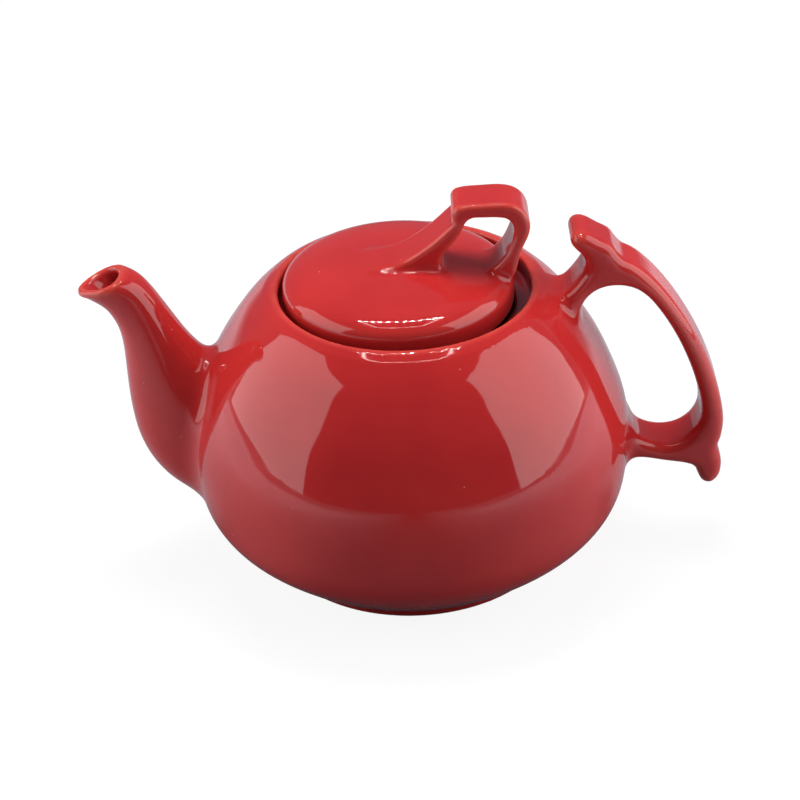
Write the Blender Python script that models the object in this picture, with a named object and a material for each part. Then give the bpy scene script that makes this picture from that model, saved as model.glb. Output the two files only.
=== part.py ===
"""Glazed ceramic teapot: hollow pot with foot ring, spout and strap handle, and a lift-off lid.

Metres, +Z up. The pot's axis is the Z axis, the foot stands on z = 0, the spout
points along -X and the handle along +X. Every constant below is in millimetres.
"""
import math

import bmesh
import bpy
import numpy as np

MM = 0.001
GAP = 0.3                    # air left between two neighbouring solids

# Pot body: outer radius at a few heights, a smooth curve runs through them.
BODY_CURVE = (
    (3.5, 54.0), (8.0, 60.4), (13.5, 66.9), (20.0, 73.4), (27.0, 77.6), (36.0, 79.4),
    (47.0, 80.0), (58.0, 78.9), (70.0, 75.0), (82.0, 69.7), (93.0, 62.7), (101.0, 56.3),
    (106.2, 50.7),
)
WALL = 4.6                   # body wall
FLOOR_TOP = 8.2              # top of the pot's floor
MOUTH_R = 45.1               # bore of the recess that takes the lid
RIM_TOP = 108.2
RIM_ROUND = 1.6              # radius of the rolled rim
SEAT_Z = 101.5               # ledge that the lid rests on
SEAT_R = 38.8                # bore of the ledge
SEAT_THICK = 4.0
SEAT_SKIRT_R = 50.0          # where the ledge's underside runs into the wall
BODY_SEGMENTS = 60
BASE_TOP = 20.0              # the base and the wall above it are two nodes of one casting

# Foot ring
FOOT_OUTER_R = 53.4
FOOT_INNER_R = 47.2
FOOT_HEIGHT = 3.5 - GAP
FOOT_CHAMFER = 0.5

# Strainer: holes through the body wall behind the spout
STRAINER_Z = 53.0
STRAINER_PITCH = 10.4
STRAINER_HOLE_R = 3.0

# Spout: outer (under) side x z, inner (upper) side x z, half width, teardrop factor
SPOUT_STATIONS = (
    (-70.0, 21.6, -38.0, 46.0, 15.0, 0.0),
    (-84.2, 28.2, -48.0, 60.0, 17.0, 0.0),
    (-93.8, 38.2, -59.5, 72.0, 17.5, 0.0),
    (-99.4, 52.0, -69.5, 80.6, 16.2, 0.0),
    (-101.3, 70.0, -77.0, 88.8, 13.4, 0.0),
    (-101.6, 86.6, -82.6, 98.0, 10.9, 0.0),
    (-103.0, 96.6, -87.6, 107.0, 9.4, 0.0),
    (-106.0, 103.0, -91.5, 113.0, 8.9, 0.05),
    (-109.8, 106.8, -94.8, 116.0, 8.9, 0.16),
    (-116.2, 111.0, -98.4, 117.3, 8.9, 0.3),
)
SPOUT_WALL_BASE = 3.6
SPOUT_WALL_MOUTH = 2.3
SPOUT_LIP_RISE = 0.9
SPOUT_RINGS = 22
SPOUT_SEGMENTS = 28

# Handle: closed outline in the XZ plane, extruded across Y with rounded edges
HANDLE_OUTLINE = (
    (46.0, 97.0), (55.1, 104.0), (58.0, 106.6), (61.0, 110.3), (63.8, 115.2), (63.2, 119.2),
    (60.3, 122.6), (58.5, 125.4), (59.4, 128.4), (62.3, 129.5), (65.2, 128.5), (69.1, 126.0),
    (73.2, 123.5), (75.5, 120.1), (77.9, 117.5), (81.4, 115.6), (87.1, 110.5), (94.0, 102.0),
    (101.0, 90.8), (107.1, 78.3), (111.5, 65.7), (114.0, 54.5), (114.6, 48.0), (113.9, 41.8),
    (112.8, 37.8), (113.8, 34.0), (114.4, 29.3), (113.4, 24.5), (110.4, 21.8), (107.2, 22.8),
    (105.5, 26.2), (104.2, 29.2), (101.4, 30.6), (93.0, 32.4), (84.0, 34.2), (76.0, 33.6),
    (66.0, 33.0), (66.0, 48.0), (75.0, 51.0), (80.2, 48.0), (83.2, 44.2), (88.0, 41.2),
    (93.5, 40.1), (99.0, 41.2), (103.6, 44.8), (106.2, 50.2), (106.1, 56.8), (103.3, 68.4),
    (100.2, 77.2), (96.5, 85.6), (91.4, 94.7), (85.8, 102.3), (80.9, 106.0), (74.7, 107.4),
    (68.8, 106.3), (64.8, 103.2), (62.6, 99.4), (60.0, 93.0), (50.0, 88.0),
)
HANDLE_HALF_WIDTH = 9.9
HANDLE_ROUND = 2.4

# Lid. It sits a little towards the spout in the mouth of the pot.
LID_X = -2.3
LID_R = 41.3
LID_TOP = 117.7
LID_EDGE_Z = 107.6           # height where the dome turns into the upright edge
LID_POWER = 2.8              # superellipse power of the dome
LID_WALL = 4.8
LID_HOLLOW_R = 33.0
LID_SEGMENTS = 52
COLLAR_OUTER_R = 35.2
COLLAR_WALL = 3.4
COLLAR_DEPTH = 9.5

# Lid knob: a folded ribbon, closed outline in the XZ plane
KNOB_OUTLINE = (
    (-17.0, 111.0), (-13.0, 115.0), (-8.0, 117.6), (-2.0, 119.9), (4.0, 123.5), (10.0, 128.1),
    (15.2, 132.9), (17.9, 135.8), (17.4, 137.6), (17.4, 139.5), (18.8, 141.3), (21.8, 142.1),
    (28.5, 142.4), (35.0, 142.4), (39.4, 141.3), (42.4, 139.0), (44.1, 135.9), (44.6, 132.4),
    (43.9, 129.0), (42.6, 126.0), (41.2, 122.6), (40.2, 118.5), (39.3, 114.8), (37.0, 110.5),
    (34.0, 105.0), (29.0, 105.0), (28.5, 111.0), (30.2, 115.8), (33.0, 118.6), (35.6, 121.8),
    (37.4, 125.6), (38.8, 129.8), (38.5, 133.4), (36.6, 135.9), (33.6, 136.7), (28.5, 136.9),
    (24.2, 136.8), (22.2, 135.3), (21.0, 132.8), (19.2, 129.6), (16.8, 126.5), (14.7, 123.8),
    (13.4, 120.6), (13.2, 116.0), (13.0, 108.0), (9.0, 105.0), (-12.0, 105.0),
)
KNOB_HALF_WIDTH = 8.7
KNOB_ROUND = 1.9

OUTLINE_STEPS = 3            # curve pieces between two outline points
EDGE_STEPS = 3               # facets around a rounded edge

GLAZE_RED = (0.56, 0.035, 0.035, 1.0)
FOOT_RED = (0.36, 0.02, 0.025, 1.0)


def clear_scene():
    """Start from an empty scene."""
    for obj in list(bpy.data.objects):
        bpy.data.objects.remove(obj, do_unlink=True)


def make_material(name, colour, roughness):
    """One Principled material for one piece."""
    mat = bpy.data.materials.new(name)
    mat.use_nodes = True
    shader = mat.node_tree.nodes["Principled BSDF"]
    shader.inputs["Base Color"].default_value = colour
    shader.inputs["Roughness"].default_value = roughness
    mat.diffuse_color = colour
    return mat


def add_object(name, verts, faces, origin=(0.0, 0.0, 0.0), material=None, smooth=True):
    """A mesh object from millimetre points, its faces turned outwards, its origin set."""
    shifted = [tuple((p[i] - origin[i]) * MM for i in range(3)) for p in verts]
    mesh = bpy.data.meshes.new(name)
    mesh.from_pydata(shifted, [], faces)
    bm = bmesh.new()
    bm.from_mesh(mesh)
    bmesh.ops.remove_doubles(bm, verts=bm.verts, dist=1e-7)
    bmesh.ops.recalc_face_normals(bm, faces=bm.faces)
    bm.to_mesh(mesh)
    bm.free()
    for poly in mesh.polygons:
        poly.use_smooth = smooth
    obj = bpy.data.objects.new(name, mesh)
    obj.location = tuple(c * MM for c in origin)
    bpy.context.scene.collection.objects.link(obj)
    if material is not None:
        mesh.materials.append(material)
    return obj


def hide_cutter(obj):
    """A helper solid: never rendered, never a piece."""
    obj.hide_render = True
    obj.display_type = "WIRE"
    return obj


def cut(obj, cutter):
    """Exact difference of two solids."""
    mod = obj.modifiers.new("cut_" + cutter.name, "BOOLEAN")
    mod.operation = "DIFFERENCE"
    mod.solver = "EXACT"
    mod.object = cutter


def natural_spline(knots, values, where):
    """Natural cubic spline through (knots, values), evaluated at where."""
    t = np.asarray(knots, float)
    v = np.asarray(values, float)
    n = len(t)
    h = np.diff(t)
    system = np.eye(n)
    right = np.zeros(n)
    for i in range(1, n - 1):
        system[i, i - 1] = h[i - 1]
        system[i, i] = 2.0 * (h[i - 1] + h[i])
        system[i, i + 1] = h[i]
        right[i] = 6.0 * ((v[i + 1] - v[i]) / h[i] - (v[i] - v[i - 1]) / h[i - 1])
    bend = np.linalg.solve(system, right)
    x = np.asarray(where, float)
    k = np.clip(np.searchsorted(t, x) - 1, 0, n - 2)
    a = t[k + 1] - x
    b = x - t[k]
    step = h[k]
    cubic = (bend[k] * a ** 3 + bend[k + 1] * b ** 3) / (6.0 * step)
    left = (v[k] / step - bend[k] * step / 6.0) * a
    return cubic + left + (v[k + 1] / step - bend[k + 1] * step / 6.0) * b


def body_radius(z):
    """Outer radius of the pot at height z."""
    return natural_spline([p[0] for p in BODY_CURVE], [p[1] for p in BODY_CURVE], z)


def body_outer(offset, count):
    """(r, z) points up the outside of the pot, pushed out by offset along the normal."""
    z = np.linspace(BODY_CURVE[0][0], BODY_CURVE[-1][0], count)
    r = body_radius(z)
    slope = np.gradient(r, z)
    length = np.hypot(1.0, slope)
    return [(float(a + offset / n), float(b - offset * s / n))
            for a, b, s, n in zip(r, z, slope, length)]


def arc(centre_r, centre_z, radius, start_deg, end_deg, count):
    """(r, z) points on a circular arc."""
    angles = np.radians(np.linspace(start_deg, end_deg, count))
    return [(centre_r + radius * math.cos(a), centre_z + radius * math.sin(a)) for a in angles]


def revolve(name, profile, segments, centre_x=0.0, origin=(0.0, 0.0, 0.0), material=None):
    """Closed solid of revolution from a closed (r, z) loop; r = 0 points become poles."""
    rings = []
    verts = []
    for r, z in profile:
        if r < 1e-6:
            rings.append([len(verts)])
            verts.append((centre_x, 0.0, z))
            continue
        ring = []
        for k in range(segments):
            angle = 2.0 * math.pi * k / segments
            ring.append(len(verts))
            verts.append((centre_x + r * math.cos(angle), r * math.sin(angle), z))
        rings.append(ring)
    faces = []
    for i, low in enumerate(rings):
        high = rings[(i + 1) % len(rings)]
        if len(low) == 1 and len(high) == 1:
            continue
        for k in range(segments):
            m = (k + 1) % segments
            if len(low) == 1:
                faces.append((low[0], high[k], high[m]))
            elif len(high) == 1:
                faces.append((low[k], high[0], low[m]))
            else:
                faces.append((low[k], high[k], high[m], low[m]))
    return add_object(name, verts, faces, origin, material)


def smooth_loop(points, steps):
    """Closed centripetal Catmull-Rom curve through the points."""
    pts = [np.asarray(p, float) for p in points]
    count = len(pts)
    out = []
    for i in range(count):
        p0, p1, p2, p3 = (pts[(i + j - 1) % count] for j in range(4))
        t1 = math.sqrt(np.linalg.norm(p1 - p0))
        t2 = t1 + math.sqrt(np.linalg.norm(p2 - p1))
        t3 = t2 + math.sqrt(np.linalg.norm(p3 - p2))
        for k in range(steps):
            t = t1 + (t2 - t1) * k / steps
            a1 = p0 * (t1 - t) / t1 + p1 * t / t1
            a2 = p1 * (t2 - t) / (t2 - t1) + p2 * (t - t1) / (t2 - t1)
            a3 = p2 * (t3 - t) / (t3 - t2) + p3 * (t - t2) / (t3 - t2)
            b1 = a1 * (t2 - t) / t2 + a2 * t / t2
            b2 = a2 * (t3 - t) / (t3 - t1) + a3 * (t - t1) / (t3 - t1)
            out.append(b1 * (t2 - t) / (t2 - t1) + b2 * (t - t1) / (t2 - t1))
    return np.array(out)


def inset_loop(loop, distance):
    """The closed loop moved inwards by distance."""
    before = loop - np.roll(loop, 1, axis=0)
    after = np.roll(loop, -1, axis=0) - loop
    before /= np.linalg.norm(before, axis=1)[:, None]
    after /= np.linalg.norm(after, axis=1)[:, None]
    area = np.sum(loop[:, 0] * np.roll(loop[:, 1], -1) - np.roll(loop[:, 0], -1) * loop[:, 1])
    side = 1.0 if area > 0.0 else -1.0
    mean = before + after
    mean /= np.linalg.norm(mean, axis=1)[:, None]
    normal = np.stack([-mean[:, 1], mean[:, 0]], axis=1) * side
    stretch = 1.0 / np.clip(np.sum(mean * after, axis=1), 0.6, 1.0)
    return loop + normal * (distance * stretch)[:, None]


def strap(name, outline, half_width, edge_round, origin=(0.0, 0.0, 0.0), material=None):
    """An outline in XZ extruded across Y, its two perimeter edges rounded."""
    loop = smooth_loop(outline, OUTLINE_STEPS)
    rings = []
    for side in (-1.0, 1.0):
        steps = range(EDGE_STEPS + 1) if side < 0.0 else range(EDGE_STEPS, -1, -1)
        for k in steps:
            angle = math.radians(90.0 * k / EDGE_STEPS)
            inset = edge_round * (1.0 - math.sin(angle))
            y = side * (half_width - edge_round + edge_round * math.cos(angle))
            rings.append((inset_loop(loop, inset), y))
    verts = []
    faces = []
    n = len(loop)
    for ring, y in rings:
        verts += [(float(p[0]), y, float(p[1])) for p in ring]
    for i in range(len(rings) - 1):
        for k in range(n):
            m = (k + 1) % n
            faces.append((i * n + k, i * n + m, (i + 1) * n + m, (i + 1) * n + k))
    faces.append(tuple(range(n)))
    faces.append(tuple((len(rings) - 1) * n + k for k in range(n)))
    obj = add_object(name, verts, faces, origin, material)
    bm = bmesh.new()
    bm.from_mesh(obj.data)
    big = [f for f in bm.faces if len(f.verts) > 4]
    bmesh.ops.triangulate(bm, faces=big)
    bm.to_mesh(obj.data)
    bm.free()
    return obj


def pot_outside(name, offset):
    """The pot's outer shape as a filled solid, for cutting the spout and handle to it."""
    profile = [(0.0, 1.0), (BODY_CURVE[0][1] + offset, 1.0)]
    profile += body_outer(offset, 24)
    profile += [(46.0, RIM_TOP + 1.5), (0.0, RIM_TOP + 1.5)]
    return hide_cutter(revolve(name, profile, BODY_SEGMENTS))


def pot_sides():
    """(r, z) points up the outside and the inside of the pot's wall."""
    outer = body_outer(0.0, 36)
    inner = [p for p in body_outer(-WALL, 34) if FLOOR_TOP + 1.0 < p[1] < SEAT_Z - SEAT_THICK]
    return outer, inner


def split_at(side, level):
    """The point of a wall side at height level."""
    return (float(np.interp(level, [p[1] for p in side], [p[0] for p in side])), level)


def build_base(material):
    """Floor of the pot with the low start of its wall."""
    outer, inner = pot_sides()
    level = BASE_TOP - 0.5 * GAP
    profile = [(0.0, outer[0][1])]
    profile += [p for p in outer if p[1] < level - 0.5]
    profile += [split_at(outer, level), split_at(inner, level)]
    profile += reversed([p for p in inner if p[1] < level - 0.5])
    profile += [(inner[0][0] - 2.5, FLOOR_TOP), (0.0, FLOOR_TOP)]
    return revolve("body_base", profile, BODY_SEGMENTS, material=material)


def build_body(material):
    """Wall of the pot with a rolled rim, a recess and ledge for the lid, and a strainer."""
    rim_r = MOUTH_R + RIM_ROUND
    rim_z = RIM_TOP - RIM_ROUND
    outer, inner = pot_sides()
    level = BASE_TOP + 0.5 * GAP
    profile = [split_at(inner, level), split_at(outer, level)]
    profile += [p for p in outer if p[1] > level + 0.5]
    profile += arc(rim_r, rim_z, RIM_ROUND, 50.0, 180.0, 6)
    profile += [(MOUTH_R, SEAT_Z + 1.0), (MOUTH_R - 1.0, SEAT_Z)]
    profile += arc(SEAT_R + 1.0, SEAT_Z - 1.0, 1.0, 90.0, 180.0, 4)
    profile += [(SEAT_R, SEAT_Z - SEAT_THICK), (SEAT_SKIRT_R, SEAT_Z - SEAT_THICK - 0.6)]
    profile += reversed([p for p in inner if p[1] > level + 0.5])
    obj = revolve("body_shell", profile, BODY_SEGMENTS, material=material)
    cut(obj, strainer_cutter())
    return obj


def strainer_cutter():
    """Seven round holes on a hexagonal grid, drilled along X."""
    segments = 12
    verts = []
    faces = []
    spots = [(0.0, STRAINER_Z)]
    for k in range(6):
        angle = math.radians(60.0 * k + 30.0)
        spots.append((STRAINER_PITCH * math.cos(angle),
                      STRAINER_Z + STRAINER_PITCH * math.sin(angle)))
    for y, z in spots:
        start = len(verts)
        for x in (-90.0, -60.0):
            for k in range(segments):
                angle = 2.0 * math.pi * k / segments
                verts.append((x, y + STRAINER_HOLE_R * math.cos(angle),
                              z + STRAINER_HOLE_R * math.sin(angle)))
        for k in range(segments):
            m = (k + 1) % segments
            faces.append((start + k, start + m, start + segments + m, start + segments + k))
        faces.append(tuple(start + k for k in range(segments)))
        faces.append(tuple(start + segments + k for k in range(segments)))
    return hide_cutter(add_object("strainer_holes", verts, faces, smooth=False))


def build_foot():
    """Foot ring under the pot."""
    c = FOOT_CHAMFER
    profile = [
        (FOOT_INNER_R, FOOT_HEIGHT), (FOOT_INNER_R, c), (FOOT_INNER_R + c, 0.0),
        (FOOT_OUTER_R - c, 0.0), (FOOT_OUTER_R, c), (FOOT_OUTER_R, FOOT_HEIGHT),
    ]
    return revolve("foot_ring", profile, BODY_SEGMENTS,
                   material=make_material("foot_glaze", FOOT_RED, 0.3))


def spout_section(row, shrink, drop, segments):
    """One closed section of the spout; shrink is the wall taken off all round."""
    under = np.array(row[0:2])
    upper = np.array(row[2:4])
    centre = 0.5 * (under + upper)
    half = 0.5 * (upper - under)
    reach = np.linalg.norm(half)
    across = half / reach
    normal = np.array([-across[1], across[0]])
    ring = []
    for k in range(segments):
        angle = 2.0 * math.pi * k / segments
        u = math.cos(angle)
        width = (row[4] - shrink) * math.sin(angle) * (1.0 + row[5] * u)
        p = centre + across * (reach - shrink) * u + normal * drop
        ring.append((float(p[0]), float(width), float(p[1])))
    return ring


def build_spout(cutter):
    """Hollow S-curved spout with a teardrop lip, fitted to the pot's side."""
    table = np.array(SPOUT_STATIONS)
    knots = np.arange(len(table), dtype=float)
    where = np.linspace(0.0, knots[-1], SPOUT_RINGS)
    rows = np.stack([natural_spline(knots, table[:, c], where) for c in range(6)], axis=1)
    walls = np.linspace(SPOUT_WALL_BASE, SPOUT_WALL_MOUTH, SPOUT_RINGS)
    sections = [spout_section(row, 0.0, 0.0, SPOUT_SEGMENTS) for row in rows]
    lip = SPOUT_WALL_MOUTH
    sections.append(spout_section(rows[-1], 0.25 * lip, 0.75 * SPOUT_LIP_RISE, SPOUT_SEGMENTS))
    sections.append(spout_section(rows[-1], 0.5 * lip, SPOUT_LIP_RISE, SPOUT_SEGMENTS))
    sections.append(spout_section(rows[-1], 0.8 * lip, 0.7 * SPOUT_LIP_RISE, SPOUT_SEGMENTS))
    sections += [spout_section(row, wall, 0.0, SPOUT_SEGMENTS)
                 for row, wall in zip(rows[::-1], walls[::-1])]
    verts = [p for ring in sections for p in ring]
    faces = []
    n = SPOUT_SEGMENTS
    for i in range(len(sections)):
        j = (i + 1) % len(sections)
        for k in range(n):
            m = (k + 1) % n
            faces.append((i * n + k, i * n + m, j * n + m, j * n + k))
    obj = add_object("spout", verts, faces, material=make_material("spout_glaze", GLAZE_RED, 0.12))
    cut(obj, cutter)
    return obj


def build_handle(cutter):
    """Strap handle: thumb rest on a short post, bowed strap, tail and lower arm."""
    obj = strap("handle", HANDLE_OUTLINE, HANDLE_HALF_WIDTH, HANDLE_ROUND,
                material=make_material("handle_glaze", GLAZE_RED, 0.12))
    cut(obj, cutter)
    return obj


def lid_dome(radius, edge_z, top_z, count):
    """(r, z) points from the dome's upright edge to its centre."""
    points = []
    for k in range(count):
        angle = 0.5 * math.pi * k / (count - 1)
        r = radius * max(math.cos(angle), 0.0) ** (2.0 / LID_POWER)
        z = edge_z + (top_z - edge_z) * math.sin(angle) ** (2.0 / LID_POWER)
        points.append((r if k < count - 1 else 0.0, z))
    return points


def build_lid():
    """Domed lid with an upright edge, hollow underneath."""
    bottom = SEAT_Z + GAP
    inner_top = LID_TOP - LID_WALL
    origin = (LID_X, 0.0, bottom)
    profile = [(LID_HOLLOW_R, bottom), (LID_R - 1.2, bottom), (LID_R - 0.3, bottom + 0.4),
               (LID_R, bottom + 1.2)]
    profile += lid_dome(LID_R, LID_EDGE_Z, LID_TOP, 13)
    profile += [(0.0, inner_top), (22.0, inner_top - 0.6), (28.0, inner_top - 2.0),
                (LID_HOLLOW_R - 1.5, inner_top - 4.8), (LID_HOLLOW_R, inner_top - 8.0)]
    return revolve("lid_plate", profile, LID_SEGMENTS, LID_X, origin,
                   make_material("lid_glaze", GLAZE_RED, 0.12))


def build_collar():
    """Ring under the lid that keeps it in the pot's mouth."""
    top = SEAT_Z
    low = top - COLLAR_DEPTH
    inner = COLLAR_OUTER_R - COLLAR_WALL
    profile = [(COLLAR_OUTER_R, top), (inner, top), (inner, low + 0.8), (inner + 0.8, low),
               (COLLAR_OUTER_R - 1.4, low), (COLLAR_OUTER_R - 0.4, low + 1.4)]
    return revolve("lid_collar", profile, LID_SEGMENTS, LID_X, (LID_X, 0.0, top),
                   make_material("collar_glaze", GLAZE_RED, 0.16))


def lid_outside(name, offset):
    """The lid's outer shape as a filled solid, for cutting the knob's feet to it."""
    profile = [(0.0, SEAT_Z - 4.0), (LID_R + offset, SEAT_Z - 4.0)]
    profile += lid_dome(LID_R + offset, LID_EDGE_Z, LID_TOP + offset, 13)
    return hide_cutter(revolve(name, profile, LID_SEGMENTS, LID_X))


def build_knob(cutter):
    """Folded ribbon knob: a ramp, a flat finger plate and a leg, with a finger loop under it."""
    obj = strap("lid_knob", KNOB_OUTLINE, KNOB_HALF_WIDTH, KNOB_ROUND, (LID_X, 0.0, LID_TOP),
                make_material("knob_glaze", GLAZE_RED, 0.12))
    cut(obj, cutter)
    return obj


def main():
    """Build every piece."""
    clear_scene()
    outside = pot_outside("pot_outside", GAP + 0.05)
    body_glaze = make_material("body_glaze", GLAZE_RED, 0.12)
    build_base(body_glaze)
    build_body(body_glaze)
    build_foot()
    build_spout(outside)
    build_handle(outside)
    build_lid()
    build_collar()
    build_knob(lid_outside("lid_outside", GAP + 0.05))


main()
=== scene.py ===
"""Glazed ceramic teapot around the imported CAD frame: glaze skins, materials, light, camera."""
import math

import bpy
import numpy as np
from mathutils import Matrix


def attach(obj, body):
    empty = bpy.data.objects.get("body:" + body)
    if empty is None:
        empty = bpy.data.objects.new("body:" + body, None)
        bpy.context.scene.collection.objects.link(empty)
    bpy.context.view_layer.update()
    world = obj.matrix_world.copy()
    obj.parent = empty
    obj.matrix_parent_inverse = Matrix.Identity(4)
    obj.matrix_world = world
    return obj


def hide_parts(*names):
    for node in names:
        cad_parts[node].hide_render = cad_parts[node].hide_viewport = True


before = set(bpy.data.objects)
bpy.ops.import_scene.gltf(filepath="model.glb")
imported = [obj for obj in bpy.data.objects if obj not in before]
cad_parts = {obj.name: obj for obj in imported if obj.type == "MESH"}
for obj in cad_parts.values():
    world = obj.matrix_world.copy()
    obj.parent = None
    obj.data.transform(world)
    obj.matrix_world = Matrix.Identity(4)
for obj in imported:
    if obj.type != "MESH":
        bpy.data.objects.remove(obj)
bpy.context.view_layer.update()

import openvdb as vdb
from mathutils import Matrix, Vector
from mathutils.bvhtree import BVHTree

MM = 0.001

# ---------------------------------------------------------------- the pot (mm)
BODY_CURVE = (
    (3.5, 54.0), (8.0, 60.4), (13.5, 66.9), (20.0, 73.4), (27.0, 77.6), (36.0, 79.4),
    (47.0, 80.0), (58.0, 78.9), (70.0, 75.0), (82.0, 69.7), (93.0, 62.7), (101.0, 56.3),
    (106.2, 50.7),
)
WALL = 4.6
FLOOR_TOP = 8.2
MOUTH_R = 45.1
RIM_TOP = 108.2
RIM_ROUND = 1.6
RECESS_ROUND = 1.4           # inner corner between the recess wall and its ledge
SEAT_ROUND = 1.0             # edges of the ledge that the lid rests on
SEAT_Z = 101.5
SEAT_R = 38.8
SEAT_THICK = 4.0
SEAT_SKIRT_R = 50.0
FOOT_OUTER_R = 53.4
FOOT_INNER_R = 47.2
FOOT_EDGE = 0.9              # rounding of the foot's resting edge
FOOT_TOP = 3.5               # underside of the pot's floor inside the foot
FOOT_FILLET = 1.5            # inner corner between the foot and the underside
SKIN = 0.04                  # the skins lie this far inside the CAD's outline
STRAINER_Z = 53.0
STRAINER_PITCH = 10.4
STRAINER_HOLE_R = 3.0
STRAINER_X = (-84.0, -60.0)

# Spout: under side x z, upper side x z, half width, teardrop factor
SPOUT_STATIONS = (
    (-70.0, 21.6, -38.0, 46.0, 15.0, 0.0),
    (-84.2, 28.2, -48.0, 60.0, 17.0, 0.0),
    (-93.8, 38.2, -59.5, 72.0, 17.5, 0.0),
    (-99.4, 52.0, -69.5, 80.6, 16.2, 0.0),
    (-101.3, 70.0, -77.0, 88.8, 13.4, 0.0),
    (-101.6, 86.6, -82.6, 98.0, 10.9, 0.0),
    (-103.0, 96.6, -87.6, 107.0, 9.4, 0.0),
    (-106.0, 103.0, -91.5, 113.0, 8.9, 0.05),
    (-109.8, 106.8, -94.8, 116.0, 8.9, 0.16),
    (-116.2, 111.0, -98.4, 117.3, 8.9, 0.3),
)
SPOUT_WALL_BASE = 3.6
SPOUT_WALL_MOUTH = 3.0
SPOUT_LIP_RISE = 0.85

# Handle and knob outlines in the XZ plane
HANDLE_OUTLINE = (
    (46.0, 97.0), (55.1, 104.0), (58.0, 106.6), (61.0, 110.3), (63.8, 115.2), (63.2, 119.2),
    (60.3, 122.6), (58.5, 125.4), (59.4, 128.4), (62.3, 129.5), (65.2, 128.5), (69.1, 126.0),
    (73.2, 123.5), (75.5, 120.1), (77.9, 117.5), (81.4, 115.6), (87.1, 110.5), (94.0, 102.0),
    (101.0, 90.8), (107.1, 78.3), (111.5, 65.7), (114.0, 54.5), (114.6, 48.0), (113.9, 41.8),
    (112.8, 37.8), (113.8, 34.0), (114.4, 29.3), (113.4, 24.5), (110.4, 21.8), (107.2, 22.8),
    (105.5, 26.2), (104.2, 29.2), (101.4, 30.6), (93.0, 32.4), (84.0, 34.2), (76.0, 33.6),
    (66.0, 33.0), (66.0, 48.0), (75.0, 51.0), (80.2, 48.0), (83.2, 44.2), (88.0, 41.2),
    (93.5, 40.1), (99.0, 41.2), (103.6, 44.8), (106.2, 50.2), (106.1, 56.8), (103.3, 68.4),
    (100.2, 77.2), (96.5, 85.6), (91.4, 94.7), (85.8, 102.3), (80.9, 106.0), (74.7, 107.4),
    (68.8, 106.3), (64.8, 103.2), (62.6, 99.4), (60.0, 93.0), (50.0, 88.0),
)
HANDLE_HALF_WIDTH = 9.9
HANDLE_ROUND = 4.1

LID_X = -2.3
LID_R = 41.3
LID_TOP = 117.7
LID_EDGE_Z = 107.6
LID_POWER = 2.8              # superellipse power of the dome
DOME_STEPS = 60
LID_TABLE_STEP = 0.25        # spacing of the distance table that is turned into the lid
LID_WALL = 4.8
COLLAR_OUTER_R = 35.2
COLLAR_WALL = 3.4
COLLAR_DEPTH = 9.5
LID_EDGE_ROUND = 1.2         # lower edges of the plate and the collar
GAP = 0.3                    # air under the lid where it rests on the ledge

KNOB_OUTLINE = (
    (-20.0, 111.0), (-16.5, 115.0), (-11.5, 117.7), (-3.0, 120.0), (4.0, 123.7), (10.0, 128.1),
    (15.2, 132.9), (17.9, 135.8), (17.4, 137.6), (17.4, 139.5), (18.8, 141.3), (21.8, 142.1),
    (28.5, 142.4), (35.0, 142.4), (39.4, 141.3), (42.4, 139.0), (44.1, 135.9), (44.6, 132.4),
    (43.9, 129.0), (42.6, 126.0), (41.2, 122.6), (40.2, 118.5), (39.3, 114.8), (37.0, 110.5),
    (34.0, 105.0), (29.0, 105.0), (28.5, 111.0), (30.2, 115.8), (33.0, 118.6), (35.6, 121.8),
    (37.4, 125.6), (38.8, 129.8), (38.5, 133.4), (36.6, 135.9), (33.6, 136.7), (28.5, 136.9),
    (24.2, 136.8), (22.2, 135.3), (21.0, 132.8), (19.2, 129.6), (16.8, 126.5), (14.7, 123.8),
    (13.4, 120.6), (13.2, 116.0), (13.0, 108.0), (9.0, 105.0), (-12.0, 105.0),
)
KNOB_HALF_WIDTH = 8.7
KNOB_ROUND = 1.9

# Glaze pooled where two forms meet: about 0.85 of these widths is the fillet's radius
SPOUT_FILLET = 6.6
HANDLE_FILLET = 5.0
KNOB_FILLET = 3.0
SHELL_ROOT = 2.0             # how deep the spout and handle reach into the pot's wall
FAR = 9.0                    # distances beyond this are not needed

POT_BOX = ((-116.3, 0.0, 0.0), (114.7, 80.0, 129.6))
LID_BOX = ((LID_X - LID_R, 0.0, SEAT_Z - COLLAR_DEPTH), (45.0, LID_R, 142.5))
POT_CELL = 0.95
LID_CELL = 0.6
ADAPTIVITY = 0.004           # how far the mesher may simplify flat stretches
SLIDE_STEPS = 3              # times each vertex is moved onto the exact surface
SLIDE_LIMIT = 0.6            # longest such move, in cells


# ---------------------------------------------------------------- curves
def natural_spline(knots, values, where):
    """Natural cubic spline through (knots, values), evaluated at where."""
    t = np.asarray(knots, float)
    v = np.asarray(values, float)
    n = len(t)
    h = np.diff(t)
    system = np.eye(n)
    right = np.zeros(n)
    for i in range(1, n - 1):
        system[i, i - 1:i + 2] = h[i - 1], 2.0 * (h[i - 1] + h[i]), h[i]
        right[i] = 6.0 * ((v[i + 1] - v[i]) / h[i] - (v[i] - v[i - 1]) / h[i - 1])
    bend = np.linalg.solve(system, right)
    x = np.asarray(where, float)
    k = np.clip(np.searchsorted(t, x) - 1, 0, n - 2)
    a = t[k + 1] - x
    b = x - t[k]
    step = h[k]
    cubic = (bend[k] * a ** 3 + bend[k + 1] * b ** 3) / (6.0 * step)
    left = (v[k] / step - bend[k] * step / 6.0) * a
    return cubic + left + (v[k + 1] / step - bend[k + 1] * step / 6.0) * b


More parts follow.
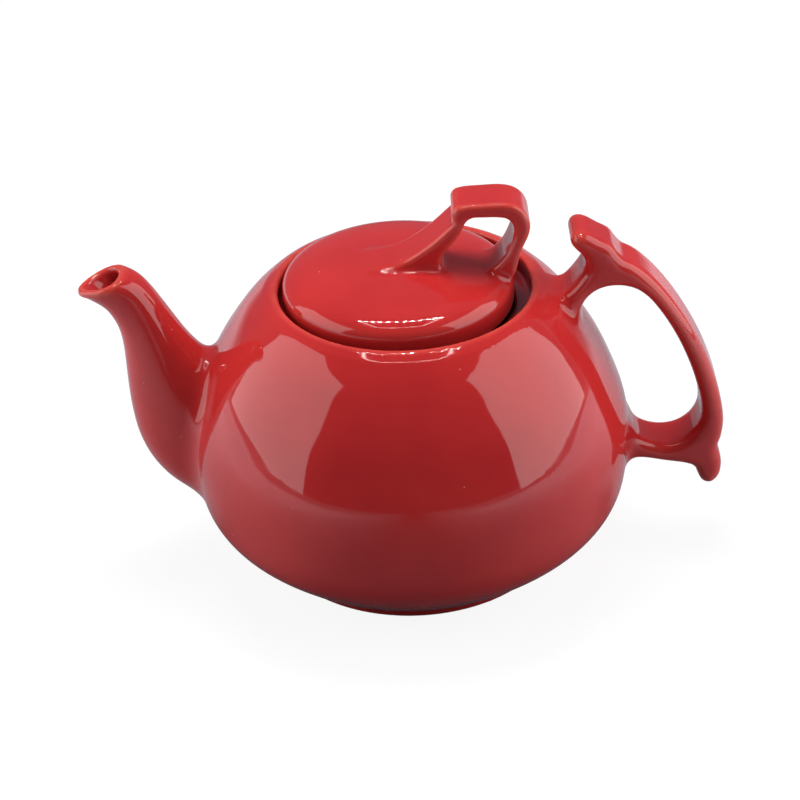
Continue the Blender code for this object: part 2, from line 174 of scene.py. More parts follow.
def smooth_loop(points, steps):
    """Closed centripetal Catmull-Rom curve through the points."""
    pts = [np.asarray(p, float) for p in points]
    count = len(pts)
    out = []
    for i in range(count):
        p0, p1, p2, p3 = (pts[(i + j - 1) % count] for j in range(4))
        t1 = math.sqrt(np.linalg.norm(p1 - p0))
        t2 = t1 + math.sqrt(np.linalg.norm(p2 - p1))
        t3 = t2 + math.sqrt(np.linalg.norm(p3 - p2))
        for k in range(steps):
            t = t1 + (t2 - t1) * k / steps
            a1 = p0 * (t1 - t) / t1 + p1 * t / t1
            a2 = p1 * (t2 - t) / (t2 - t1) + p2 * (t - t1) / (t2 - t1)
            a3 = p2 * (t3 - t) / (t3 - t2) + p3 * (t - t2) / (t3 - t2)
            b1 = a1 * (t2 - t) / t2 + a2 * t / t2
            b2 = a2 * (t3 - t) / (t3 - t1) + a3 * (t - t1) / (t3 - t1)
            out.append(b1 * (t2 - t) / (t2 - t1) + b2 * (t - t1) / (t2 - t1))
    return np.array(out)


def even_loop(loop, spacing):
    """The closed loop resampled at an even spacing and lightly smoothed."""
    closed = np.vstack([loop, loop[:1]])
    run = np.concatenate([[0.0], np.cumsum(np.linalg.norm(np.diff(closed, axis=0), axis=1))])
    where = np.linspace(0.0, run[-1], int(run[-1] / spacing), endpoint=False)
    even = np.stack([np.interp(where, run, closed[:, i]) for i in range(2)], axis=1)
    for _ in range(3):
        even = 0.5 * even + 0.25 * (np.roll(even, 1, axis=0) + np.roll(even, -1, axis=0))
    return even


def arc(centre_r, centre_z, radius, start_deg, end_deg, count=9):
    """(r, z) points on a circular arc."""
    angles = np.radians(np.linspace(start_deg, end_deg, count))
    return [(centre_r + radius * math.cos(a), centre_z + radius * math.sin(a)) for a in angles]


def both_sides(profile):
    """A half profile from the axis round to the axis, closed by its mirror image."""
    return profile + [(-r, z) for r, z in profile[::-1] if r > 0.0]


def body_outer(offset, count):
    """(r, z) points up the outside of the pot, pushed out by offset along the normal."""
    z = np.linspace(BODY_CURVE[0][0], BODY_CURVE[-1][0], count)
    r = natural_spline([p[0] for p in BODY_CURVE], [p[1] for p in BODY_CURVE], z)
    slope = np.gradient(r, z)
    length = np.hypot(1.0, slope)
    return [(float(a + offset / n), float(b - offset * s / n))
            for a, b, s, n in zip(r, z, slope, length)]


# ---------------------------------------------------------------- distances (mm, < 0 inside)
def loop_distance(px, pz, loop):
    """Signed distance of points to a closed 2-D loop."""
    shape = px.shape
    px, pz = px.ravel(), pz.ravel()
    out = np.empty(px.size)
    a = np.asarray(loop, float)
    b = np.roll(a, -1, axis=0)
    edge = b - a
    length2 = np.maximum(np.sum(edge ** 2, axis=1), 1e-12)
    for s in range(0, px.size, 4096):
        x = px[s:s + 4096, None]
        z = pz[s:s + 4096, None]
        t = np.clip(((x - a[:, 0]) * edge[:, 0] + (z - a[:, 1]) * edge[:, 1]) / length2, 0.0, 1.0)
        d2 = (x - a[:, 0] - t * edge[:, 0]) ** 2 + (z - a[:, 1] - t * edge[:, 1]) ** 2
        crosses = (a[:, 1] > z) != (b[:, 1] > z)
        rise = np.where(edge[:, 1] == 0.0, 1.0, edge[:, 1])
        meets = crosses & (x < a[:, 0] + (z - a[:, 1]) * edge[:, 0] / rise)
        inside = np.sum(meets, axis=1) % 2 == 1
        out[s:s + 4096] = np.sqrt(d2.min(axis=1)) * np.where(inside, -1.0, 1.0)
    return out.reshape(shape)


class Grid:
    """A box of evenly spaced points, symmetric about y = 0."""

    def __init__(self, low, high, cell):
        self.cell = cell
        half = int(math.ceil(high[1] / cell)) + 2
        self.x = np.arange(low[0] - 2 * cell, high[0] + 2.5 * cell, cell)
        self.y = np.arange(-half, half + 1) * cell
        self.z = np.arange(low[2] - 2 * cell, high[2] + 2.5 * cell, cell)

    def revolve(self, profile, centre_x=0.0, fine=0.35):
        """Distance to a closed (r, z) profile turned about the axis x = centre_x, y = 0."""
        reach = np.hypot(max(abs(self.x[0] - centre_x), abs(self.x[-1] - centre_x)), self.y[-1])
        r_line = np.arange(0.0, reach + 2 * fine, fine)
        rr, zz = np.meshgrid(r_line, self.z, indexing="ij")
        table = loop_distance(rr, zz, profile)
        r = np.hypot(self.x[:, None] - centre_x, self.y[None, :]) / fine
        k = r.astype(int)
        t = (r - k)[:, :, None].astype(np.float32)
        table = table.astype(np.float32)
        return table[k] * (1 - t) + table[k + 1] * t

    def strap(self, loop, half_width, edge_round):
        """Distance to an XZ outline extruded across Y with rounded edges."""
        xx, zz = np.meshgrid(self.x, self.z, indexing="ij")
        flat = loop_distance(xx, zz, loop)[:, None, :] + edge_round
        side = (np.abs(self.y) - (half_width - edge_round))[None, :, None]
        outside = np.hypot(np.maximum(flat, 0.0), np.maximum(side, 0.0))
        return (outside + np.minimum(np.maximum(flat, side), 0.0) - edge_round).astype(np.float32)


def smooth_union(a, b, width):
    """Union of two distance fields with a fillet."""
    h = np.maximum(width - np.abs(a - b), 0.0) / width
    return np.minimum(a, b) - h * h * (0.25 * width)


def spout_rows(count):
    """Spout stations at evenly spread positions, by natural splines."""
    table = np.array(SPOUT_STATIONS)
    knots = np.arange(len(table), dtype=float)
    where = np.linspace(0.0, knots[-1], count)
    return np.stack([natural_spline(knots, table[:, c], where) for c in range(6)], axis=1)


def spout_shell(grid, rings=110, segments=72):
    """Distance to the spout's open tube: a middle surface with half the wall either side."""
    rows = spout_rows(rings)
    walls = np.linspace(SPOUT_WALL_BASE, SPOUT_WALL_MOUTH, rings)
    verts = []
    for i, (row, wall) in enumerate(zip(rows, walls)):
        under, upper = np.array(row[0:2]), np.array(row[2:4])
        centre, half = 0.5 * (under + upper), 0.5 * (upper - under)
        reach = np.linalg.norm(half)
        across = half / reach
        normal = np.array([-across[1], across[0]])
        drop = 0.0
        if i == rings - 1:
            drop = SPOUT_LIP_RISE - 0.5 * wall
        for k in range(segments):
            angle = 2.0 * math.pi * k / segments
            u = math.cos(angle)
            width = (row[4] - 0.5 * wall) * math.sin(angle) * (1.0 + row[5] * u)
            p = centre + across * (reach - 0.5 * wall) * u + normal * drop
            verts.append((float(p[0]), float(width), float(p[1])))
    if np.dot(np.subtract(verts[-1], verts[-1 - segments]),
              np.subtract(verts[-1 - segments], verts[-1 - 2 * segments])) < 0.0:
        del verts[-2 * segments:-segments]
        walls = np.delete(walls, -2)
        rings -= 1
    faces = []
    for i in range(rings - 1):
        for k in range(segments):
            m = (k + 1) % segments
            faces.append((i * segments + k, i * segments + m,
                          (i + 1) * segments + m, (i + 1) * segments + k))
    tree = BVHTree.FromPolygons(verts, faces)
    cloud = np.array(verts)
    field = np.full((len(grid.x), len(grid.y), len(grid.z)), FAR, np.float32)
    low, high = cloud.min(axis=0) - FAR, cloud.max(axis=0) + FAR
    middle = len(grid.y) // 2
    xs = [i for i, x in enumerate(grid.x) if low[0] < x < high[0]]
    zs = [i for i, z in enumerate(grid.z) if low[2] < z < high[2]]
    for j in range(middle, len(grid.y)):
        y = float(grid.y[j])
        if y > high[1]:
            break
        for i in xs:
            x = float(grid.x[i])
            for k in zs:
                hit = tree.find_nearest((x, y, float(grid.z[k])), FAR)
                if hit[0] is not None:
                    wall = walls[hit[2] // segments]
                    field[i, j, k] = hit[3] - 0.5 * wall
    field[:, :middle, :] = field[:, :middle:-1, :]
    return field


# ---------------------------------------------------------------- meshes
def gather(field, points):
    """Trilinear value and gradient of a field at array-index points."""
    base = np.clip(points.astype(int), 1, np.array(field.shape) - 3)
    t = points - base
    value = np.zeros(len(points))
    slope = np.zeros((len(points), 3))
    for corner in range(8):
        c = np.array([(corner >> b) & 1 for b in range(3)])
        weight = np.prod(np.where(c, t, 1.0 - t), axis=1)
        i, j, k = (base + c).T
        value += weight * field[i, j, k]
        slope[:, 0] += weight * (field[i + 1, j, k] - field[i - 1, j, k]) * 0.5
        slope[:, 1] += weight * (field[i, j + 1, k] - field[i, j - 1, k]) * 0.5
        slope[:, 2] += weight * (field[i, j, k + 1] - field[i, j, k - 1]) * 0.5
    return value, slope


def surface_bend(field, points, cell):
    """Curvature per mm at points: positive on outer edges, negative in hollows."""
    reach = 1.5
    bend = 0.0
    for axis in range(3):
        for sign in (-1, 1):
            slope = gather(field, points + np.roll((reach, 0, 0), axis) * sign)[1]
            bend = bend + sign * slope[:, axis] / np.linalg.norm(slope, axis=1)
    return bend / (2.0 * reach * cell)


def skin(name, grid, field, material):
    """One closed mesh object on the field's zero surface, with the field's own normals."""
    level = vdb.FloatGrid(FAR)
    level.copyFromArray(np.clip(field / grid.cell, -FAR, FAR).astype(np.float32))
    points, tris, quads = level.convertToPolygons(isovalue=0.0, adaptivity=ADAPTIVITY)
    points = points.astype(float)
    for _ in range(SLIDE_STEPS):
        value, slope = gather(field, points)
        size2 = np.maximum(np.sum(slope ** 2, axis=1), 0.01 * grid.cell ** 2)
        step = slope * (value / size2)[:, None]
        points -= np.clip(step, -SLIDE_LIMIT, SLIDE_LIMIT)
    value, slope = gather(field, points)
    normals = slope / np.linalg.norm(slope, axis=1)[:, None]
    bend = surface_bend(field, points, grid.cell)
    origin = np.array([grid.x[0], grid.y[0], grid.z[0]])
    world = (origin + points * grid.cell) * MM
    faces = [tuple(map(int, f)) for f in tris] + [tuple(map(int, f)) for f in quads]
    mesh = bpy.data.meshes.new(name)
    mesh.from_pydata(world.tolist(), [], faces)
    first = mesh.polygons[0]
    if Vector(first.normal).dot(Vector(normals[first.vertices[0]])) < 0.0:
        mesh.flip_normals()
    mesh.polygons.foreach_set("use_smooth", [True] * len(mesh.polygons))
    mesh.normals_split_custom_set_from_vertices(normals.tolist())
    curve = mesh.attributes.new("bend", "FLOAT", "POINT")
    curve.data.foreach_set("value", bend.astype(np.float32))
    mesh.materials.append(material)
    obj = bpy.data.objects.new(name, mesh)
    bpy.context.scene.collection.objects.link(obj)
    return obj


def pot_field(grid):
    """Distance to the pot: shell with foot and seat, spout, handle, strainer holes."""
    rim_r = MOUTH_R + RIM_ROUND
    outer = body_outer(-SKIN, 120)
    inner = [p for p in body_outer(-WALL, 90) if FLOOR_TOP + 3.0 < p[1] < SEAT_Z - SEAT_THICK]
    inner_foot = FOOT_INNER_R - FOOT_FILLET
    profile = [(0.0, FOOT_TOP), (inner_foot, FOOT_TOP)]
    profile += arc(inner_foot, FOOT_TOP - FOOT_FILLET, FOOT_FILLET, 90.0, 0.0, 5)
    for centre_r, start in ((FOOT_INNER_R + FOOT_EDGE, 180.0), (FOOT_OUTER_R - FOOT_EDGE, 270.0)):
        profile += arc(centre_r, FOOT_EDGE + SKIN, FOOT_EDGE, start, start + 90.0, 6)
    profile += [(FOOT_OUTER_R, FOOT_TOP - 0.8)]
    profile += outer
    profile += arc(rim_r, RIM_TOP - RIM_ROUND, RIM_ROUND, 50.0, 180.0)
    profile += [(MOUTH_R, SEAT_Z + RECESS_ROUND)]
    profile += arc(MOUTH_R - RECESS_ROUND, SEAT_Z + RECESS_ROUND, RECESS_ROUND, 0.0, -90.0, 5)
    ledge_r = SEAT_R + SEAT_ROUND
    profile += arc(ledge_r, SEAT_Z - SEAT_ROUND, SEAT_ROUND, 90.0, 180.0)
    profile += arc(ledge_r, SEAT_Z - SEAT_THICK + SEAT_ROUND, SEAT_ROUND, 180.0, 270.0)
    profile += [(SEAT_SKIRT_R, SEAT_Z - SEAT_THICK - 0.6)]
    profile += reversed(inner)
    profile += [(inner[0][0] - 3.0, FLOOR_TOP + 0.9), (inner[0][0] - 7.0, FLOOR_TOP),
                (0.0, FLOOR_TOP)]
    shell = grid.revolve(both_sides(profile))
    root = [(0.0, -5.0), (BODY_CURVE[0][1] - SHELL_ROOT, -5.0)] + body_outer(-SHELL_ROOT, 80)
    root += [(rim_r, RIM_TOP), (0.0, RIM_TOP)]
    core = grid.revolve(both_sides(root))
    spout = np.maximum(spout_shell(grid), -core)
    field = smooth_union(shell, spout, SPOUT_FILLET)
    loop = even_loop(smooth_loop(HANDLE_OUTLINE, 8), 0.5)
    handle = np.maximum(grid.strap(loop, HANDLE_HALF_WIDTH, HANDLE_ROUND) + SKIN, -core)
    field = smooth_union(field, handle, HANDLE_FILLET)
    return cut_strainer(grid, field)


def cut_strainer(grid, field):
    """The field with one round hole in the middle and six around it, behind the spout."""
    y, z = grid.y[None, :, None], grid.z[None, None, :]
    spots = [(0.0, STRAINER_Z)]
    for k in range(6):
        angle = math.radians(60.0 * k + 30.0)
        spots.append((STRAINER_PITCH * math.cos(angle),
                      STRAINER_Z + STRAINER_PITCH * math.sin(angle)))
    x = grid.x[:, None, None]
    ends = np.maximum(STRAINER_X[0] - x, x - STRAINER_X[1])
    for spot_y, spot_z in spots:
        hole = np.maximum(np.hypot(y - spot_y, z - spot_z) - STRAINER_HOLE_R, ends)
        field = np.maximum(field, -hole)
    return field


def lid_field(grid):
    """Distance to the lid: domed plate with hollow and collar, and the folded ribbon knob."""
    bottom = SEAT_Z + GAP
    low = SEAT_Z - COLLAR_DEPTH
    inner = COLLAR_OUTER_R - COLLAR_WALL
    inner_top = LID_TOP - LID_WALL
    profile = [(0.0, inner_top), (22.0, inner_top - 0.6), (27.0, inner_top - 1.8),
               (30.0, inner_top - 4.2), (inner, inner_top - 7.5)]
    turn = LID_EDGE_ROUND
    profile += arc(inner + turn, low + turn, turn, 180.0, 270.0, 6)
    profile += arc(COLLAR_OUTER_R - turn, low + turn, turn, 270.0, 360.0, 6)
    profile += [(COLLAR_OUTER_R, bottom - 1.0)]
    profile += [(COLLAR_OUTER_R + 0.3, bottom - 0.3), (COLLAR_OUTER_R + 1.0, bottom)]
    profile += arc(LID_R - SKIN - turn, bottom + turn, turn, 270.0, 360.0, 6)
    for k in range(DOME_STEPS):
        angle = 0.5 * math.pi * k / (DOME_STEPS - 1)
        r = (LID_R - SKIN) * max(math.cos(angle), 0.0) ** (2.0 / LID_POWER)
        z = LID_EDGE_Z + (LID_TOP - LID_EDGE_Z) * math.sin(angle) ** (2.0 / LID_POWER)
        profile.append((r if k < DOME_STEPS - 1 else 0.0, z))
    plate = grid.revolve(both_sides(profile), LID_X, LID_TABLE_STEP)
    hollow_r = LID_R - 6.0
    hollow = [(0.0, inner_top + 1.5), (hollow_r, inner_top - 4.0), (hollow_r, 90.0), (0.0, 90.0)]
    core = grid.revolve(both_sides(hollow), LID_X, LID_TABLE_STEP)
    loop = even_loop(smooth_loop(KNOB_OUTLINE, 8), 0.35)
    knob = np.maximum(grid.strap(loop, KNOB_HALF_WIDTH, KNOB_ROUND) + SKIN, -core)
    return smooth_union(plate, knob, KNOB_FILLET)


# ---------------------------------------------------------------- materials
class Nodes:
    """Short hand for one material's node tree."""

    def __init__(self, name):
        self.material = bpy.data.materials.new(name)
        self.material.use_nodes = True
        self.tree = self.material.node_tree
        self.shader = self.tree.nodes["Principled BSDF"]

    def add(self, kind, **inputs):
        """A node with its inputs set; a name with a leading _ is one of its properties."""
        node = self.tree.nodes.new(kind)
        for key, value in inputs.items():
            if key.startswith("_"):
                setattr(node, key[1:], value)
            else:
                self.set(node.inputs[key.replace("_", " ")], value)
        return node

    def set(self, socket, value):
        """Link a socket to another socket, or give it a plain value."""
        if isinstance(value, bpy.types.NodeSocket):
            self.tree.links.new(value, socket)
        else:
            socket.default_value = value

    def ramp(self, source, stops):
        """A colour ramp through (position, colour) stops."""
        node = self.tree.nodes.new("ShaderNodeValToRGB")
        elements = node.color_ramp.elements
        while len(elements) > 1:
            elements.remove(elements[0])
        elements[0].position, elements[0].color = stops[0]
        for position, colour in stops[1:]:
            elements.new(position).color = colour
        self.set(node.inputs["Fac"], source)
        return node.outputs["Color"]

    def mix(self, factor, a, b):
        """One colour turning into another."""
        node = self.tree.nodes.new("ShaderNodeMix")
        node.data_type = "RGBA"
        self.set(node.inputs[0], factor)
        self.set(node.inputs[6], a)
        self.set(node.inputs[7], b)
        return node.outputs[2]

    def blend(self, factor, first, second):
        """One shader turning into another."""
        node = self.add("ShaderNodeMixShader", Fac=factor)
        self.set(node.inputs[1], first)
        self.set(node.inputs[2], second)
        return node.outputs[0]

    def span(self, value, zero_at, one_at):
        """A straight run from 0 to 1 between two values, flat outside them."""
        node = self.add("ShaderNodeMapRange", Value=value, From_Min=zero_at, From_Max=one_at)
        return node.outputs["Result"]

    def math(self, operation, a, b):
        """Plain arithmetic on two values."""
        node = self.tree.nodes.new("ShaderNodeMath")
        node.operation = operation
        self.set(node.inputs[0], a)
        self.set(node.inputs[1], b)
        return node.outputs[0]


def grey(value):
    """An opaque grey."""
    return (value, value, value, 1.0)


# the glaze's deepest tone; also the colour of the painted shade band above the foot
GLAZE_DEEP = (0.47, 0.021, 0.023, 1.0)
GLAZE_PLAIN = (0.56, 0.028, 0.026, 1.0)
GLAZE_THIN = (0.74, 0.10, 0.065, 1.0)        # over outer edges, where the clay shines through
RECESS_PAINTED_SHADE = (0.12, 0.006, 0.010, 1.0)     # painted shade in the recess that takes the lid
DUST = (0.78, 0.42, 0.36, 1.0)
CLAY_DARK = (0.62, 0.50, 0.38, 1.0)
CLAY_PALE = (0.74, 0.62, 0.50, 1.0)
CLAY_TOP = 0.00085                           # metres: the glaze ends here, above the foot's edge
CLAY_FULL = 0.0006
FOOT_SHADE_TOP = 0.0042
FOOT_SHADE_FULL = 0.0030


def glaze_colour(n, place, bend, streak):
    """Cloudy depth, thin and pale over outer edges, deeper in hollows."""
    cloud = n.add("ShaderNodeTexNoise", Vector=place, Scale=26.0, Detail=3.0, Roughness=0.5)
    colour = n.ramp(cloud.outputs["Fac"], [(0.3, GLAZE_DEEP), (0.68, GLAZE_PLAIN)])
    edge = n.span(bend, 0.12, 0.6)
    edge = n.math("MULTIPLY", edge, n.ramp(streak, [(0.3, grey(0.6)), (0.7, grey(1.0))]))
    colour = n.mix(n.math("MULTIPLY", edge, 0.55), colour, GLAZE_THIN)
    hollow = n.span(bend, -0.06, -0.3)
    return n.mix(n.math("MULTIPLY", hollow, 0.35), colour, GLAZE_DEEP)


def dust_specks(n, place):
    """A few small round specks: one cell in seven has one."""
    dots = n.add("ShaderNodeTexVoronoi", Vector=place, Scale=170.0)
    pick = n.add("ShaderNodeSeparateColor", Color=dots.outputs["Color"]).outputs["Red"]
    keep = n.ramp(pick, [(0.86, grey(0.0)), (0.865, grey(1.0))])
    disc = n.ramp(dots.outputs["Distance"], [(0.035, grey(1.0)), (0.06, grey(0.0))])
    return n.math("MULTIPLY", disc, keep)


def glaze_relief(n, place, speck):
    """Slow waves, fine orange peel and raised specks, as one normal."""
    wave = n.add("ShaderNodeTexNoise", Vector=place, Scale=38.0, Detail=1.5)
    peel = n.add("ShaderNodeTexNoise", Vector=place, Scale=420.0, Detail=1.0)
    bump = n.add("ShaderNodeBump", Height=wave.outputs["Fac"], Strength=0.35, Distance=0.0005)
    bump = n.add("ShaderNodeBump", Height=peel.outputs["Fac"], Strength=0.12, Distance=0.00004,
                 Normal=bump.outputs["Normal"])
    bump = n.add("ShaderNodeBump", Height=speck, Strength=0.5, Distance=0.00008,
                 Normal=bump.outputs["Normal"])
    return bump.outputs["Normal"]


def foot_finish(n, place, streak, colour, rough):
    """Bare clay on the foot's resting edge, and a band of painted shade just above it."""
    z = n.add("ShaderNodeSeparateXYZ", Vector=place).outputs["Z"]
    ragged = n.math("MULTIPLY", n.math("SUBTRACT", streak, 0.5), 0.0012)
    bare = n.span(n.math("ADD", z, ragged), CLAY_TOP, CLAY_FULL)
    grain = n.add("ShaderNodeTexNoise", Vector=place, Scale=900.0, Detail=4.0)
    clay = n.ramp(grain.outputs["Fac"], [(0.3, CLAY_DARK), (0.7, CLAY_PALE)])
    colour = n.mix(bare, colour, clay)
    rough = n.mix(bare, rough, grey(0.75))
    # painted shade: the glaze just above the bare clay is darkened towards GLAZE_DEEP
    foot_shade_band = n.math("SUBTRACT", n.span(z, FOOT_SHADE_TOP, FOOT_SHADE_FULL), bare)
    colour = n.mix(n.math("MULTIPLY", foot_shade_band, 0.45), colour, GLAZE_DEEP)
    return colour, rough


def recess_painted_shade(n, place, colour):
    """Painted shade: a near-black colour on the wall and ledge of the recess that takes the lid.
    """
    z = n.add("ShaderNodeSeparateXYZ", Vector=place).outputs["Z"]
    across = n.add("ShaderNodeVectorMath", _operation="MULTIPLY")
    n.set(across.inputs[0], place)
    n.set(across.inputs[1], (1.0, 1.0, 0.0))
    radius = n.add("ShaderNodeVectorMath", _operation="LENGTH")
    n.set(radius.inputs[0], across.outputs["Vector"])
    ledge = SEAT_Z - SEAT_THICK
    wall = n.span(radius.outputs["Value"], MM * (MOUTH_R + 1.3), MM * (MOUTH_R + 0.2))
    sunk = n.span(z, MM * (RIM_TOP - 0.8), MM * (RIM_TOP - 3.0))
    above = n.span(z, MM * (ledge - 1.0), MM * ledge)
    recess_shade = n.math("MULTIPLY", n.math("MULTIPLY", wall, sunk), above)
    # painted shade: the recess wall and ledge are darkened towards near black, whether or not the
    # lid is on
    return n.mix(n.math("MULTIPLY", recess_shade, 0.9), colour, RECESS_PAINTED_SHADE)


def glaze(name, is_pot):
    """Red gloss glaze; the pot's also ends in bare clay on the foot and has painted shade in the
    recess.
    """
    n = Nodes(name)
    place = n.add("ShaderNodeTexCoord").outputs["Object"]
    bend = n.add("ShaderNodeAttribute", _attribute_name="bend").outputs["Fac"]
    streak = n.add("ShaderNodeTexNoise", Vector=place, Scale=180.0, Detail=2.0).outputs["Fac"]
    speck = dust_specks(n, place)
    colour = glaze_colour(n, place, bend, streak)
    colour = n.mix(n.math("MULTIPLY", speck, 0.35), colour, DUST)
    wear = n.add("ShaderNodeTexNoise", Vector=place, Scale=60.0, Detail=4.0, Roughness=0.6)
    rough = n.ramp(wear.outputs["Fac"], [(0.35, grey(0.035)), (0.75, grey(0.075))])
    rough = n.mix(speck, rough, grey(0.35))
    if is_pot:
        colour, rough = foot_finish(n, place, streak, colour, rough)
        colour = recess_painted_shade(n, place, colour)
    n.set(n.shader.inputs["Base Color"], colour)
    n.set(n.shader.inputs["Roughness"], rough)
    n.set(n.shader.inputs["Normal"], glaze_relief(n, place, speck))
    n.shader.inputs["IOR"].default_value = 1.5
    return n.material


# ---------------------------------------------------------------- pieces
pot_grid = Grid(*POT_BOX, POT_CELL)
pot = skin("pot_skin", pot_grid, pot_field(pot_grid), glaze("glaze_pot", True))
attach(pot, "pot")
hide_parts("body_base", "body_shell", "foot_ring", "spout", "handle")

lid_grid = Grid(*LID_BOX, LID_CELL)
lid = skin("lid_skin", lid_grid, lid_field(lid_grid), glaze("glaze_lid", False))
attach(lid, "lid")
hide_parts("lid_plate", "lid_collar", "lid_knob")


# ---------------------------------------------------------------- floor, light, camera
def plain_mesh(name, verts, faces, material):
    """A simple mesh object in metres."""
    mesh = bpy.data.meshes.new(name)
    mesh.from_pydata(verts, [], faces)
    mesh.materials.append(material)
    obj = bpy.data.objects.new(name, mesh)
    bpy.context.scene.collection.objects.link(obj)
    return obj


FLOOR_HALF = 6.0
FLOOR_GLOW = 0.9             # what the camera sees of the floor: this glow, and
FLOOR_SHADE = 0.16           # this share of the paper's own shading
FLOOR_NEAR_SHADE = (0.19, 0.2, 0.225, 1.0)
FLOOR_FAR = (0.84, 0.89, 1.0, 1.0)
FLOOR_BOUNCE = 0.25


def floor_as_light(n, place):
    """The floor as the glaze sees it: painted shade near the pot, a painted glow of light to both
    sides.
    """
    split = n.add("ShaderNodeSeparateXYZ", Vector=place)
    apart = n.span(n.math("ABSOLUTE", split.outputs["X"], 0.0), 0.04, 0.42)
    behind = n.span(split.outputs["Y"], -0.06, 0.12)
    bright = n.math("MAXIMUM", apart, n.math("MULTIPLY", behind, 0.35))
    # painted shade on the paper near the pot, and a painted glow towards the sides that also
    # lights the pot
    n.set(n.shader.inputs["Base Color"], n.ramp(bright, [(0.0, FLOOR_NEAR_SHADE), (1.0, FLOOR_FAR)]))
    n.set(n.shader.inputs["Emission Strength"], n.math("MULTIPLY", apart, FLOOR_BOUNCE))
    n.shader.inputs["Emission Color"].default_value = grey(1.0)
    n.shader.inputs["Roughness"].default_value = 0.9
    n.shader.inputs["Specular IOR Level"].default_value = 0.0
    return n.shader.outputs[0]


def floor_as_seen(n, place):
    """The floor itself: plain white paper with a soft contact shade."""
    grain = n.add("ShaderNodeTexNoise", Vector=place, Scale=300.0, Detail=3.0)
    tone = n.ramp(grain.outputs["Fac"], [(0.3, grey(0.78)), (0.7, grey(0.8))])
    paper = n.add("ShaderNodeBsdfDiffuse", Color=tone)
    black = n.add("ShaderNodeBsdfDiffuse", Color=grey(0.0))
    glow = n.add("ShaderNodeEmission", Strength=FLOOR_GLOW)
    seen = n.add("ShaderNodeAddShader")
    n.set(seen.inputs[0], n.blend(FLOOR_SHADE, black.outputs[0], paper.outputs[0]))
    n.set(seen.inputs[1], glow.outputs[0])
    return seen.outputs[0]


def floor_material():
    """Pale paper, clear when looked at from below."""
    n = Nodes("floor_paper")
    place = n.add("ShaderNodeTexCoord").outputs["Object"]
    direct = n.add("ShaderNodeLightPath").outputs["Is Camera Ray"]
    above = n.blend(direct, floor_as_light(n, place), floor_as_seen(n, place))
    from_below = n.add("ShaderNodeNewGeometry").outputs["Backfacing"]
    clear = n.add("ShaderNodeBsdfTransparent").outputs[0]
    n.set(n.tree.nodes["Material Output"].inputs["Surface"], n.blend(from_below, above, clear))
    return n.material


corners = [(x * FLOOR_HALF, y * FLOOR_HALF, 0.0) for x, y in ((-1, -1), (1, -1), (1, 1), (-1, 1))]
floor = plain_mesh("floor", corners, [(0, 1, 2, 3)], floor_material())


def panel(name, centre, target, size, radiance, colour=(1.0, 1.0, 1.0)):
    """A rectangular area lamp that faces the target and isn't seen by the camera."""
    data = bpy.data.lights.new(name, "AREA")
    data.shape = "RECTANGLE"
    data.size, data.size_y = size
    data.energy = radiance * math.pi * size[0] * size[1]
    data.color = colour
    lamp = bpy.data.objects.new(name, data)
    lamp.location = centre
    aim = Vector(target) - Vector(centre)
    lamp.rotation_mode = "QUATERNION"
    lamp.rotation_quaternion = aim.to_track_quat("-Z", "Y")
    lamp.visible_camera = False
    bpy.context.scene.collection.objects.link(lamp)
    return lamp


panel("softbox_left", (-0.95, -0.10, 0.56), (0.0, 0.02, 0.40), (1.15, 1.05), 2.1)
panel("softbox_right", (0.95, -0.16, 0.60), (0.0, 0.02, 0.40), (1.15, 1.15), 2.45)
overhead = panel("overhead", (0.0, 0.22, 0.90), (0.0, 0.0, 0.1), (0.5, 0.4), 9.6,
                 (1.0, 0.97, 0.92))
overhead.visible_glossy = False

# The lamp frame above the pot: a row of small bright lamps behind, thin tubes to the front
LAMP_Z = 0.62
LAMP_REAR_Y = 0.055
LAMP_REAR_HALF = 0.175
LAMP_FRONT_Y = -0.15
LAMP_FRONT_HALF = 0.13
LAMP_WIDTH = 0.012
DOT_COUNT = 12
DOT_GLOW = 230.0
TUBE_GLOW = 16.0


def glow_material(name, strength):
    """A lamp's bright face."""
    n = Nodes(name)
    n.shader.inputs["Base Color"].default_value = grey(0.0)
    n.shader.inputs["Emission Color"].default_value = (1.0, 0.98, 0.95, 1.0)
    n.shader.inputs["Emission Strength"].default_value = strength
    return n.material


def lamp_strips(name, lines, glow):
    """Flat quads along (x0, y0, x1, y1) lines, seen only in reflections."""
    verts, faces = [], []
    for x0, y0, x1, y1 in lines:
        along = Vector((x1 - x0, y1 - y0, 0.0)).normalized()
        across = Vector((-along.y, along.x, 0.0)) * (0.5 * LAMP_WIDTH)
        k = len(verts)
        for end in (Vector((x0, y0, LAMP_Z)), Vector((x1, y1, LAMP_Z))):
            verts += [tuple(end - across), tuple(end + across)]
        faces.append((k, k + 1, k + 3, k + 2))
    strip = plain_mesh(name, verts, faces, glow_material(name, glow))
    strip.visible_camera = False
    strip.visible_diffuse = False
    strip.visible_shadow = False


dots = []
for i in range(DOT_COUNT):
    x = -LAMP_REAR_HALF + 2.0 * LAMP_REAR_HALF * i / (DOT_COUNT - 1)
    dots.append((x - 0.5 * LAMP_WIDTH, LAMP_REAR_Y, x + 0.5 * LAMP_WIDTH, LAMP_REAR_Y))
lamp_strips("lamp_dots", dots, DOT_GLOW)
lamp_strips("lamp_tubes", [
    (-LAMP_REAR_HALF, LAMP_REAR_Y, -LAMP_FRONT_HALF, LAMP_FRONT_Y),
    (LAMP_REAR_HALF, LAMP_REAR_Y, LAMP_FRONT_HALF, LAMP_FRONT_Y),
    (-LAMP_FRONT_HALF, LAMP_FRONT_Y, LAMP_FRONT_HALF, LAMP_FRONT_Y)], TUBE_GLOW)

SKY_COLOUR = (0.93, 0.98, 1.18, 1.0)
SKY_FRONT = 0.05             # strength of the sky towards the front
SKY_BACK = 0.2


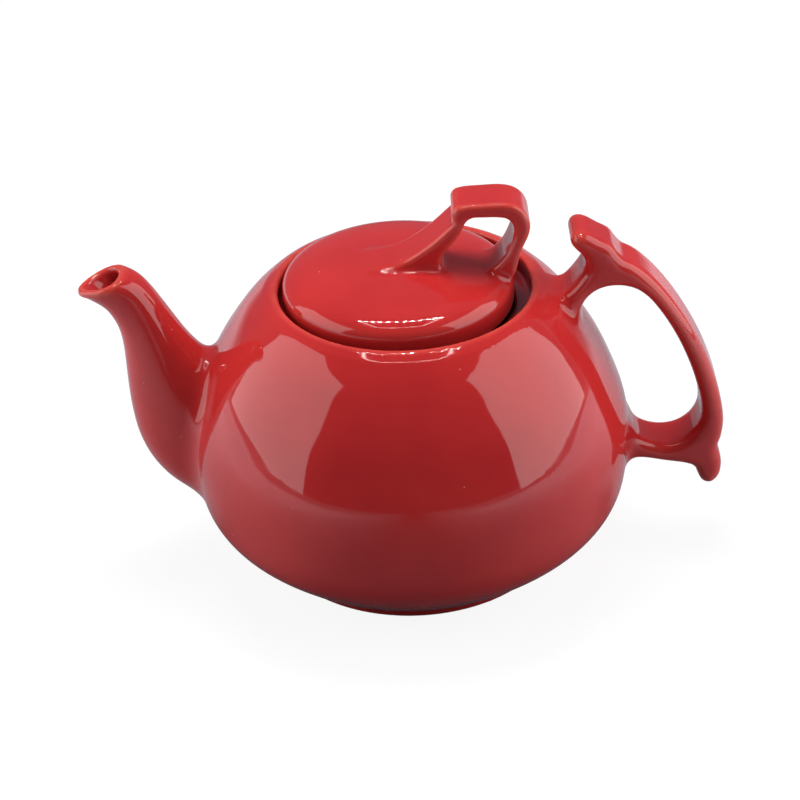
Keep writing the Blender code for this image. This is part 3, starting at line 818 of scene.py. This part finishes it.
def studio_world():
    """A dim, slightly blue room that is brighter behind the pot."""
    world = bpy.data.worlds.new("studio")
    world.use_nodes = True
    tree = world.node_tree
    where = tree.nodes.new("ShaderNodeTexCoord")
    split = tree.nodes.new("ShaderNodeSeparateXYZ")
    ramp = tree.nodes.new("ShaderNodeMapRange")
    ramp.interpolation_type = "SMOOTHSTEP"
    for key, value in (("From Min", -0.4), ("From Max", 0.6),
                       ("To Min", SKY_FRONT), ("To Max", SKY_BACK)):
        ramp.inputs[key].default_value = value
    sky = tree.nodes["Background"]
    sky.inputs["Color"].default_value = SKY_COLOUR
    tree.links.new(where.outputs["Generated"], split.inputs["Vector"])
    tree.links.new(split.outputs["Y"], ramp.inputs["Value"])
    tree.links.new(ramp.outputs["Result"], sky.inputs["Strength"])
    return world


bpy.context.scene.world = studio_world()
bpy.context.scene.view_settings.view_transform = "Standard"

# Camera: a long lens from the front and above, turned slightly (metres, degrees, mm)
CAM_DISTANCE = 0.9122
CAM_ELEVATION = 35.405
CAM_YAW = -0.269
CAM_PITCH = -3.147
CAM_ROLL = -2.623
CAM_LENS = 108.0


def place_camera():
    """The camera CAM_DISTANCE from the pot's foot, tilted off it by pitch, yaw and roll."""
    place = math.radians(CAM_ELEVATION)
    tilt = math.radians(CAM_ELEVATION + CAM_PITCH)
    yaw, roll = math.radians(CAM_YAW), math.radians(CAM_ROLL)
    level = Vector((math.sin(yaw), math.cos(yaw), 0.0)) * math.cos(tilt)
    forward = level - Vector((0.0, 0.0, math.sin(tilt)))
    right = Vector((math.cos(yaw), -math.sin(yaw), 0.0))
    up = right.cross(forward)
    side = math.cos(roll) * right + math.sin(roll) * up
    top = -math.sin(roll) * right + math.cos(roll) * up
    data = bpy.data.cameras.new("camera")
    data.lens = CAM_LENS
    data.sensor_width = 36.0
    data.clip_start = 0.05
    data.clip_end = 50.0
    camera = bpy.data.objects.new("camera", data)
    bpy.context.scene.collection.objects.link(camera)
    spot = Vector((0.0, -math.cos(place), math.sin(place))) * CAM_DISTANCE
    turn = Matrix((side, top, -forward)).transposed()
    camera.matrix_world = Matrix.Translation(spot) @ turn.to_4x4()
    bpy.context.scene.camera = camera


place_camera()

# ---------------------------------------------------------------- scene update
bpy.context.view_layer.update()
